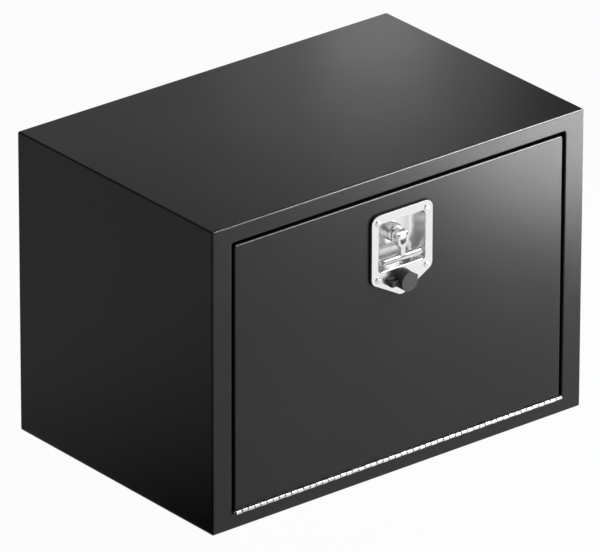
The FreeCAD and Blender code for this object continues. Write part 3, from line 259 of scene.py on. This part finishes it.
def powder_coat(name, peel_size, peel_depth, dust):
    """Black powder coat: orange peel, a finer grit and faint clouding of the gloss."""
    finish = Finish(name)
    places = finish.places()
    peel = finish.noise(places, 1 / peel_size, 2, 0.55)
    grit = finish.noise(places, COAT_GRIT, 1, 0.5)
    clouds = finish.noise(places, 9, 4, 0.6)
    relief = finish.bump(peel * 0.7 + grit * 0.3, peel_depth, 0.6)
    colour = finish.shades(clouds * 0.6 + grit * dust, (COAT_TONE * 0.82,) * 3, (COAT_TONE * 1.25,) * 3)
    roughness = clouds * 0.06 + grit * 0.02 + peel * 0.10 * dust + COAT_ROUGHNESS
    return finish.surface(Base_Color=colour, Roughness=roughness, Normal=relief, IOR=COAT_IOR)


def finish_solids(finish, *names):
    """Solids that already have the real shape keep it, and get their finish."""
    for name in names:
        nodes[name].data.materials.clear()
        nodes[name].data.materials.append(finish)


body_coat = powder_coat("body_powder_coat", 0.0022, 0.00022, 0.4)
finish_solids(body_coat, "body_wrap", "end_panel_left", "end_panel_right")

# ---- Front frame ----
# A pressed ring of the same sheet: rounded outer rim, flat face, a bend of 2 mm into the opening,
# a return 30 mm deep and a land that carries the seal. It is spot welded to the body and coated with it.
MM = 0.001
SHEET = 1.5
HALF_WIDTH = 330.2
HEIGHT = 457.2
FRONT = -215.9
RIM_BACK = FRONT + 12.0
BODY_RADIUS = 3.0
OPENING_HALF = 296.5
OPENING_LOW = 23.9
OPENING_HIGH = 432.0
OPENING_RADIUS = 4.0
OPENING_BEND = 2.0
LAND_WIDTH = 14.0
LAND_RADIUS = 10.0
LAND_BACK = FRONT + 30.0
INNER_RADIUS = 1.0
BEND_STEPS = 6
CORNER_STEPS = 8
SMALLEST_RADIUS = 0.01


def rounded_outline(points, radius):
    """X and Z pairs round an outline whose corners are all turned with the same small tangent arc."""
    outline = []
    count = len(points)
    radius = max(radius, SMALLEST_RADIUS)
    for index in range(count):
        here = Vector(points[index])
        before = (Vector(points[index - 1]) - here).normalized()
        after = (Vector(points[(index + 1) % count]) - here).normalized()
        half_angle = before.angle(after) / 2
        centre = here + (before + after).normalized() * (radius / math.sin(half_angle))
        start = here + before * (radius / math.tan(half_angle)) - centre
        end = here + after * (radius / math.tan(half_angle)) - centre
        turn = math.pi - 2 * half_angle
        for step in range(CORNER_STEPS + 1):
            share = step / CORNER_STEPS
            arm = start * math.sin(turn * (1 - share)) + end * math.sin(turn * share)
            outline.append(centre + arm / math.sin(turn))
    return outline


def frame_loop(half, low, high, radius, y):
    """A rounded rectangle that faces the front, as points."""
    pairs = rounded_outline([(-half, low), (half, low), (half, high), (-half, high)], radius)
    return [Vector((pair.x, y, pair.y)) for pair in pairs]


def quarter_bend():
    """What is left of a bend's radius across and along, at each step of its quarter turn."""
    turns = [math.pi / 2 * step / BEND_STEPS for step in range(BEND_STEPS + 1)]
    return [(1 - math.cos(turn), 1 - math.sin(turn)) for turn in turns]


def lofted(mesh, loops, closed=False, near_end=False, far_end=False):
    """Faces from each loop of points to the next; a closed loft joins the last loop to the first."""
    rows = [[mesh.verts.new(Vector(point) * MM) for point in loop] for loop in loops]
    pairs = list(zip(rows, rows[1:]))
    if closed:
        pairs.append((rows[-1], rows[0]))
    for near, far in pairs:
        for index in range(len(near)):
            following = (index + 1) % len(near)
            mesh.faces.new((near[index], near[following], far[following], far[index]))
    if near_end:
        mesh.faces.new(rows[0])
    if far_end:
        mesh.faces.new(rows[-1])
    return rows


def fitted(made, body, node):
    """A piece on its body and the solid that it stands for."""
    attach(made, body)
    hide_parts(node)
    return made


def made_piece(name, mesh, finish, body, node, sharp=32):
    """A finished mesh as a piece: flats stay flat, and bends are smooth."""
    bmesh.ops.recalc_face_normals(mesh, faces=mesh.faces)
    data = bpy.data.meshes.new(name)
    mesh.to_mesh(data)
    mesh.free()
    data.materials.append(finish)
    data.polygons.foreach_set("use_smooth", [True] * len(data.polygons))
    data.set_sharp_from_angle(angle=math.radians(sharp))
    made = bpy.data.objects.new(name, data)
    bpy.context.scene.collection.objects.link(made)
    flats = made.modifiers.new("flats", "WEIGHTED_NORMAL")
    flats.keep_sharp = True
    return fitted(made, body, node)


def pressed_frame():
    """The ring's cross section, carried all the way round."""
    loops = []

    def outer(inset, y, radius=None):
        corner = BODY_RADIUS - inset if radius is None else radius
        loops.append(frame_loop(HALF_WIDTH - inset, inset, HEIGHT - inset, corner, y))

    def opening(grow, y, radius=OPENING_RADIUS):
        half, low, high = OPENING_HALF + grow, OPENING_LOW - grow, OPENING_HIGH + grow
        loops.append(frame_loop(half, low, high, radius + grow, y))

    outer(0, RIM_BACK)
    for across, along in quarter_bend():
        outer(BODY_RADIUS * across, FRONT + BODY_RADIUS * along)
    for across, along in quarter_bend():
        opening(OPENING_BEND * along, FRONT + OPENING_BEND * across)
    opening(0, LAND_BACK - SHEET)
    opening(-LAND_WIDTH, LAND_BACK - SHEET, LAND_RADIUS + LAND_WIDTH)
    opening(-LAND_WIDTH, LAND_BACK, LAND_RADIUS + LAND_WIDTH)
    for across, along in quarter_bend():
        opening(SHEET - OPENING_BEND * along, LAND_BACK - OPENING_BEND * across)
    opening(SHEET, FRONT + SHEET)
    outer(SHEET, FRONT + SHEET, INNER_RADIUS)
    outer(SHEET, RIM_BACK, INNER_RADIUS)
    mesh = bmesh.new()
    lofted(mesh, loops, closed=True)
    return made_piece("pressed_front_frame", mesh, frame_coat, "cabinet", "front_frame")


frame_coat = powder_coat("frame_powder_coat", 0.0030, 0.00030, 0.2)
pressed_fronts.objects.link(pressed_frame())

# ---- Door seal ----
# Black sponge rubber strip glued round the land; the closed door leaves it just touched.
# Its skin is matt, with a fine speck and a faint bloom.


def rubber(name, tone, roughness, grain):
    """Matt black rubber with a fine moulded grain."""
    finish = Finish(name)
    places = finish.places()
    speck = finish.noise(places, grain, 2, 0.6)
    bloom = finish.noise(places, 60, 3, 0.6)
    colour = finish.shades(bloom, (tone * 0.8,) * 3, (tone * 1.3,) * 3)
    relief = finish.bump(speck, 0.00006, 0.5)
    return finish.surface(Base_Color=colour, Roughness=bloom * 0.15 + roughness, Normal=relief)


finish_solids(rubber("seal_rubber", 0.012, 0.62, 1800), "door_seal")

# ---- Piano hinge ----
# Two strips of bright stainless, each rolled into every second knuckle round one long pin.
# The leaves are spot welded under the door and to the bottom of the opening.
HINGE_Y = -218.9
HINGE_Z = 25.35
BARREL_RADIUS = 3.0
BARREL_BORE = 1.55
KNUCKLE_PITCH = 10.85
KNUCKLE_COUNT = 54
KNUCKLE_GAP = 1.3
KNUCKLE_RADIUS = 2.55
KNUCKLE_EASE = 0.3
KNUCKLE_BORE = 1.8
ROLL_OFFSET = 0.2
LEAF_SHEET = 1.2
LEAF_WIDTH = 21.0
LEAF_GAP = 0.25
LEAF_START = HINGE_Y + BARREL_RADIUS + 0.3
LEAF_LAP = 0.01
KNUCKLE_SIDES = 24
ALONG_HINGE = (0.15, 1, 1)


def bright_metal(name, light, roughness, grain, stretch, depth, tint=(1.0, 1.0, 1.0)):
    """Bare bright metal: fine grain along one way, slight stain and scuffs in the gloss."""
    finish = Finish(name)
    lines = finish.noise(finish.places(stretch), grain, 3, 0.6)
    stain = finish.noise(finish.places(), 55, 4, 0.6)
    clean = tuple(light * part for part in tint)
    dull = tuple(part * 0.86 for part in clean)
    colour = finish.shades(stain * 0.5 + lines * 0.3, dull, clean)
    relief = finish.bump(lines, depth, 0.35)
    gloss = lines * 0.10 + stain * 0.10 + roughness
    return finish.surface(Base_Color=colour, Metallic=1.0, Roughness=gloss, Normal=relief)


def ring_loop(centre, radius, sides, axis):
    """Points round an axis along X or Y."""
    loop = []
    for step in range(sides):
        turn = 2 * math.pi * step / sides
        across, up = radius * math.cos(turn), radius * math.sin(turn)
        arm = Vector((0, across, up)) if axis == "X" else Vector((across, 0, up))
        loop.append(Vector(centre) + arm)
    return loop


def block(mesh, x, y, z):
    """A small plain bar between three pairs of limits."""
    corners = [(x[0], y[0]), (x[1], y[0]), (x[1], y[1]), (x[0], y[1])]
    lofted(mesh, [[(px, py, pz) for px, py in corners] for pz in z], near_end=True, far_end=True)


def rolled_leaf(name, first, above, body, node):
    """A leaf strip with its rolled knuckles, each eased a little at its ends."""
    mesh = bmesh.new()
    half = KNUCKLE_COUNT * KNUCKLE_PITCH / 2
    low = HINGE_Z + LEAF_GAP if above else HINGE_Z - LEAF_GAP - LEAF_SHEET
    wall = HINGE_Y + (BARREL_RADIUS + BARREL_BORE) / 2
    centre = HINGE_Z + (ROLL_OFFSET if above else -ROLL_OFFSET)
    block(mesh, (-half, half), (LEAF_START, HINGE_Y + LEAF_WIDTH), (low, low + LEAF_SHEET))
    for index in range(first, KNUCKLE_COUNT, 2):
        start = -half + index * KNUCKLE_PITCH + KNUCKLE_GAP / 2
        end = start + KNUCKLE_PITCH - KNUCKLE_GAP
        section = [
            (KNUCKLE_BORE, start),
            (KNUCKLE_RADIUS - KNUCKLE_EASE, start),
            (KNUCKLE_RADIUS, start + KNUCKLE_EASE),
            (KNUCKLE_RADIUS, end - KNUCKLE_EASE),
            (KNUCKLE_RADIUS - KNUCKLE_EASE, end),
            (KNUCKLE_BORE, end),
        ]
        loops = [ring_loop((x, HINGE_Y, centre), radius, KNUCKLE_SIDES, "X") for radius, x in section]
        lofted(mesh, loops, closed=True)
        block(mesh, (start, end), (wall, LEAF_START + LEAF_LAP), (low, low + LEAF_SHEET))
    made_piece(name, mesh, hinge_steel, body, node)


hinge_steel = bright_metal("hinge_stainless", 0.68, 0.30, 900, ALONG_HINGE, 0.00003)
# Painted shade: the pin's steel is made nearly black, standing in for the shade inside the knuckles where it
# shows through the gaps.
pin_painted_shade = bright_metal("hinge_pin_painted_shade", 0.12, 0.45, 900, ALONG_HINGE, 0.00003)
rolled_leaf("rolled_leaf_cabinet", 0, False, "cabinet", "hinge_leaf_cabinet")
rolled_leaf("rolled_leaf_door", 1, True, "door", "hinge_leaf_door")
finish_solids(pin_painted_shade, "hinge_pin")

# ---- Door skin ----
# The outer pan of the door, pressed from the same sheet with a 2.5 mm bend at its front edge.
# Its coat lies a little smoother than the frame's, and it hangs in the opening with an even gap.
DOOR_HALF = 291.5
DOOR_LOW = 26.8
DOOR_HIGH = 426.5
DOOR_BACK = FRONT + 20.0
DOOR_BEND = 2.5
DOOR_RADIUS = 3.0
DOOR_FACE_RADIUS = 0.5
DOOR_INNER_RADIUS = 1.5
CUTOUT_HALF = 43.7
CUTOUT_LOW = 312.3
CUTOUT_HIGH = 389.2
CUTOUT_RADIUS = 8.2


def pressed_door():
    """The pan's section from the flange round the bend to the latch hole and back inside."""
    loops = []

    def edge(inset, y, radius):
        loops.append(frame_loop(DOOR_HALF - inset, DOOR_LOW + inset, DOOR_HIGH - inset, radius, y))

    edge(0, DOOR_BACK, DOOR_RADIUS)
    for across, along in quarter_bend():
        edge(DOOR_BEND * across, FRONT + DOOR_BEND * along, DOOR_RADIUS - DOOR_BEND * across)
    for y in (FRONT, FRONT + SHEET):
        loops.append(frame_loop(CUTOUT_HALF, CUTOUT_LOW, CUTOUT_HIGH, CUTOUT_RADIUS, y))
    edge(DOOR_BEND, FRONT + SHEET, DOOR_FACE_RADIUS)
    edge(SHEET, FRONT + DOOR_BEND, DOOR_INNER_RADIUS)
    edge(SHEET, DOOR_BACK, DOOR_INNER_RADIUS)
    mesh = bmesh.new()
    lofted(mesh, loops, closed=True)
    return made_piece("pressed_door_skin", mesh, door_coat, "door", "door_skin")


door_coat = powder_coat("door_powder_coat", 0.0016, 0.00006, 0.25)
pressed_fronts.objects.link(pressed_door())

# ---- Door inner panel and brackets ----
# The inner pan closes the door's back and is stiffened by two pressed beads. Four bent brackets carry the
# stays. All are coated like the door and spot welded.
finish_solids(
    door_coat,
    "door_inner_panel",
    "stay_bracket_left",
    "stay_bracket_right",
    "door_stay_bracket_left",
    "door_stay_bracket_right",
)

# ---- Latch gasket ----
# Sheet rubber between the latch plate and the door, cut a little larger than the plate.
# The plate's rivets squeeze it, so that its black edge shows all round.
finish_solids(rubber("gasket_rubber", 0.010, 0.7, 2400), "latch_gasket")

# ---- Latch plate and pan ----
# Stainless 1.6 mm thick, drawn in one piece: a flat flange with a pointed apron below and a deep drafted
# pan. The face is evenly polished, and faint lines run up and down it.
PLATE_HALF = 54.0
PLATE_TOP = 401.0
PLATE_SHOULDER = 300.2
PLATE_APEX = 270.3
PLATE_RADIUS = 12.0
PLATE_BACK = FRONT - 2.5
PLATE_SHEET = 1.6
PLATE_FRONT = PLATE_BACK - PLATE_SHEET
PLATE_EDGE = 0.5
MOUTH_HALF = 41.5
MOUTH_LOW = 314.5
MOUTH_HIGH = 387.0
MOUTH_RADIUS = 6.0
MOUTH_BEND = 1.4
PAN_DEPTH = 24.0
PAN_SIDE_DRAFT = 6.0
PAN_END_DRAFT = 2.0
PAN_FLOOR_EDGE = 5.0
BACK_BEND = 0.4
FLOOR_FRONT = PLATE_FRONT + PAN_DEPTH


def plate_loop(inset, y):
    """The plate's outline, drawn in by a small inset."""
    half = PLATE_HALF - inset
    slope = math.atan2(PLATE_SHOULDER - PLATE_APEX, PLATE_HALF)
    shoulder = PLATE_SHOULDER - inset * (math.tan(slope) - 1 / math.cos(slope))
    apex = PLATE_APEX + inset / math.cos(slope)
    top = PLATE_TOP - inset
    points = [(half, shoulder), (half, top), (-half, top), (-half, shoulder), (0, apex)]
    pairs = rounded_outline(points, PLATE_RADIUS - inset)
    return [Vector((pair.x, y, pair.y)) for pair in pairs]


def pan_loops(grow, front, floor, bend):
    """Loops down the pan's wall from its mouth to its floor, grown outwards by the sheet for the back."""
    loops = []
    depth = floor - front
    edge = PAN_FLOOR_EDGE + grow

    def level(inset, y):
        share = max(0.0, (y - front) / depth)
        side = PAN_SIDE_DRAFT * share + inset - grow
        end = PAN_END_DRAFT * share + inset - grow
        low, high = MOUTH_LOW + end, MOUTH_HIGH - end
        loops.append(frame_loop(MOUTH_HALF - side, low, high, MOUTH_RADIUS + grow, y))

    for across, along in quarter_bend():
        level(-bend * along, front + bend * across)
    for across, along in quarter_bend():
        level(edge * across, floor - edge * along)
    return loops


def drawn_pan():
    """Flange, apron and pan as one closed sheet."""
    mesh = bmesh.new()
    rim = [
        (0, PLATE_BACK),
        (0, PLATE_FRONT + PLATE_EDGE),
        (PLATE_EDGE * 0.3, PLATE_FRONT + PLATE_EDGE * 0.3),
        (PLATE_EDGE, PLATE_FRONT),
    ]
    rim_rows = lofted(mesh, [plate_loop(inset, y) for inset, y in rim])
    front_rows = lofted(mesh, pan_loops(0, PLATE_FRONT, FLOOR_FRONT, MOUTH_BEND), far_end=True)
    back_loops = pan_loops(PLATE_SHEET, PLATE_BACK, FLOOR_FRONT + PLATE_SHEET, BACK_BEND)
    back_rows = lofted(mesh, back_loops, far_end=True)
    for outline, mouth in ((rim_rows[-1], front_rows[0]), (rim_rows[0], back_rows[0])):
        border = []
        for row in (outline, mouth):
            for index in range(len(row)):
                following = row[(index + 1) % len(row)]
                border.append(mesh.edges.get((row[index], following)))
        bmesh.ops.triangle_fill(mesh, edges=border, use_beauty=True)
    return made_piece("drawn_latch_pan", mesh, polished_plate, "door", "latch_pan")


def skip_from_right(piece):
    """Bright metal that the lamps on the right would burn out: they leave it alone."""
    skipped_by_right.objects.link(piece)
    skipped_by_right.collection_objects[-1].light_linking.link_state = "EXCLUDE"


polished_plate = bright_metal("polished_plate", 0.94, 0.15, 700, (1, 1, 0.12), 0.00002)
skip_from_right(drawn_pan())

# ---- Rivets ----
# Four blind rivets with low domed heads; each keeps the hole that its broken mandrel left.
RIVET_PLACES = [(side * 43.3, z) for side in (-1, 1) for z in (390.2, 304.0)]
RIVET_SIDES = 28
RIVET_SECTION = [
    (1.2, 0.4),
    (1.25, -1.35),
    (1.6, -1.5),
    (2.9, -1.38),
    (4.0, -0.95),
    (4.7, -0.3),
    (4.8, 0),
    (2.4, 0),
    (2.4, 5.6),
    (3.6, 5.6),
    (3.6, 10.6),
]


def set_rivets():
    """Each rivet is turned from pairs of radius and depth behind the plate's face."""
    mesh = bmesh.new()
    for x, z in RIVET_PLACES:
        places = [((x, PLATE_FRONT + depth, z), radius) for radius, depth in RIVET_SECTION]
        loops = [ring_loop(centre, radius, RIVET_SIDES, "Y") for centre, radius in places]
        lofted(mesh, loops, near_end=True, far_end=True)
    made_piece("set_rivets", mesh, rivet_steel, "door", "latch_rivets")


rivet_steel = bright_metal("rivet_steel", 0.74, 0.28, 1500, (1, 1, 1), 0.00003)
set_rivets()

# ---- Hub, spindle, pawl and stays ----
# A turned hub stands on the pan's floor, held by a thin nut behind. The spindle runs in it, with a flat head
# in front for the handle and the pawl, washer and nut behind. These small parts, the lock's body and the
# stays with their pins are zinc-plated steel.
SPINDLE_Z = 359.0
HUB_FRONT = -206.4
HUB_SIDES = 64
HUB_SECTION = [
    (6.06, 0.2),
    (6.4, 0),
    (9.8, 0),
    (10.9, 0.25),
    (12.1, 1.0),
    (12.95, 2.1),
    (13.25, 3.4),
    (13.25, 9.6),
    (13.0, 10.4),
    (9.0, 10.4),
    (9.0, 17.6),
    (6.06, 17.6),
]


def turned_hub():
    """The hub is turned from pairs of radius and depth behind its face, with a bore for the spindle."""
    mesh = bmesh.new()
    places = [((0, HUB_FRONT + depth, SPINDLE_Z), radius) for radius, depth in HUB_SECTION]
    lofted(mesh, [ring_loop(centre, radius, HUB_SIDES, "Y") for centre, radius in places], closed=True)
    made_piece("turned_hub", mesh, cast_bright, "door", "spindle_hub")


WELD_REACH = 0.00001


def softened(node, name, voxel, passes, finish, body):
    """A cast, forged or moulded piece, taken from its solid, with every edge melted round."""
    made = bpy.data.objects.new(name, nodes[node].data.copy())
    bpy.context.scene.collection.objects.link(made)
    weld = made.modifiers.new("weld", "WELD")
    weld.merge_threshold = WELD_REACH
    cells = made.modifiers.new("cells", "REMESH")
    cells.mode = "VOXEL"
    cells.voxel_size = voxel
    cells.use_smooth_shade = True
    melt = made.modifiers.new("melt", "SMOOTH")
    melt.factor = 0.5
    melt.iterations = passes
    bpy.context.view_layer.update()
    melted = made.evaluated_get(bpy.context.evaluated_depsgraph_get())
    shape = bpy.data.meshes.new_from_object(melted)
    made.modifiers.clear()
    shape.name = name
    shape.materials.clear()
    shape.materials.append(finish)
    shape.polygons.foreach_set("use_smooth", [True] * len(shape.polygons))
    made.data = shape
    return fitted(made, body, node)


cast_bright = bright_metal("cast_bright", 0.90, 0.20, 420, (1, 1, 1), 0.00005)
zinc_plate = bright_metal("zinc_plate", 0.58, 0.34, 800, (1, 1, 1), 0.00003, (0.98, 0.99, 1.0))
turned_hub()
softened("spindle", "forged_spindle", 0.00032, 4, cast_bright, "spindle_body")
finish_solids(
    zinc_plate,
    "spindle_hub_nut",
    "latch_pawl",
    "pawl_washer",
    "pawl_nut",
    "handle_pivot_pin",
    "lock_housing",
    "lock_housing_nut",
    "lock_cam",
    "cam_nut",
    "stay_arm_left",
    "stay_arm_right",
    "stay_studs",
    "door_stay_pins",
)

# ---- T-handle ----
# A bright plated casting: a forked yoke round the spindle's head, a short stem and a round cross bar.
# A pin through the yoke lets it fold flat into the pan.
skip_from_right(softened("t_handle", "cast_t_handle", 0.00036, 9, cast_bright, "handle"))

# ---- Key lock plug ----
# Turned brass with a keyway, which runs in the lock's body and is hidden under the weather cap.
# It shows when the cap is swung aside.
plug_brass = bright_metal("plug_brass", 0.80, 0.3, 1200, (1, 1, 1), 0.00003, (1.0, 0.80, 0.42))
finish_solids(plug_brass, "lock_plug")

# ---- Weather cap ----
# Moulded black rubber in one: a collar round the lock with an ear, a folded strap and a cup that covers the
# lock. The cup's front is a soft matt disc with a straight flat and a small corner to pull it by.
LOCK_Z = 296.0
COLLAR_FRONT = PLATE_FRONT - 3.5
CAP_FRONT = PLATE_FRONT - 17.0
CAP_RIM = COLLAR_FRONT - 0.3
CAP_RADIUS = 14.4
CAP_FLAT = 12.8
CAP_FLAT_TURN = 65.4
CAP_TAB_SIDE = 14.7
CAP_TAB_DEPTH = 3.0
CAP_TAB_START = 346
CAP_TAB_MIDDLE = 25
CAP_TAB_END = 48
CAP_TAB_REACH = 16.0
CAP_TAB_FALL = 0.010
CAP_WALL = 2.5
CAP_MIDDLE = 13.6
CAP_SHELF = CAP_FRONT + CAP_TAB_DEPTH
CAP_SIDES = 120
CAP_SECTION = [
    (CAP_MIDDLE, CAP_FRONT + CAP_WALL, False),
    (CAP_WALL, CAP_FRONT + CAP_WALL, False),
    (CAP_WALL, CAP_RIM, False),
    (0.3, CAP_RIM, False),
    (0, CAP_RIM - 0.3, False),
    (0, CAP_SHELF + 0.3, False),
    (0.1, CAP_SHELF, True),
    (0, CAP_SHELF - 0.3, True),
    (0, CAP_FRONT + 0.8, True),
    (0.15, CAP_FRONT + 0.3, True),
    (0.6, CAP_FRONT + 0.03, True),
    (1.2, CAP_FRONT, True),
    (CAP_MIDDLE, CAP_FRONT, False),
]


def cap_loop(inset, y, tab):
    """The cup's outline: round, pressed flat on its upper right, and squared to a corner where the tab is."""
    loop = []
    for step in range(CAP_SIDES):
        turn = 360 * step / CAP_SIDES
        angle = math.radians(turn)
        reach = CAP_RADIUS
        if tab and (turn < CAP_TAB_END or turn > CAP_TAB_START):
            square = CAP_TAB_SIDE / math.cos(angle)
            rounded = CAP_TAB_REACH - CAP_TAB_FALL * (turn - CAP_TAB_MIDDLE) ** 2
            corner = min(square, rounded) if turn < CAP_TAB_END else square
            reach = max(CAP_RADIUS, corner)
        away = math.cos(math.radians(turn - CAP_FLAT_TURN))
        if away > 0:
            reach = min(reach, CAP_FLAT / away)
        reach -= inset
        loop.append(Vector((reach * math.cos(angle), y, LOCK_Z + reach * math.sin(angle))))
    return loop


def moulded_cap():
    """From the hollow round the rim to the front; each level is an inset, a place along Y and tab or none."""
    mesh = bmesh.new()
    loops = [cap_loop(inset, y, tab) for inset, y, tab in CAP_SECTION]
    lofted(mesh, loops, near_end=True, far_end=True)
    made_piece("moulded_cap", mesh, cap_rubber, "cap", "lock_cap", 40)


cap_rubber = rubber("cap_rubber", 0.046, 0.55, 1500)
moulded_cap()
softened("cap_strap", "moulded_strap", 0.00028, 6, cap_rubber, "door")
finish_solids(cap_rubber, "cap_collar")
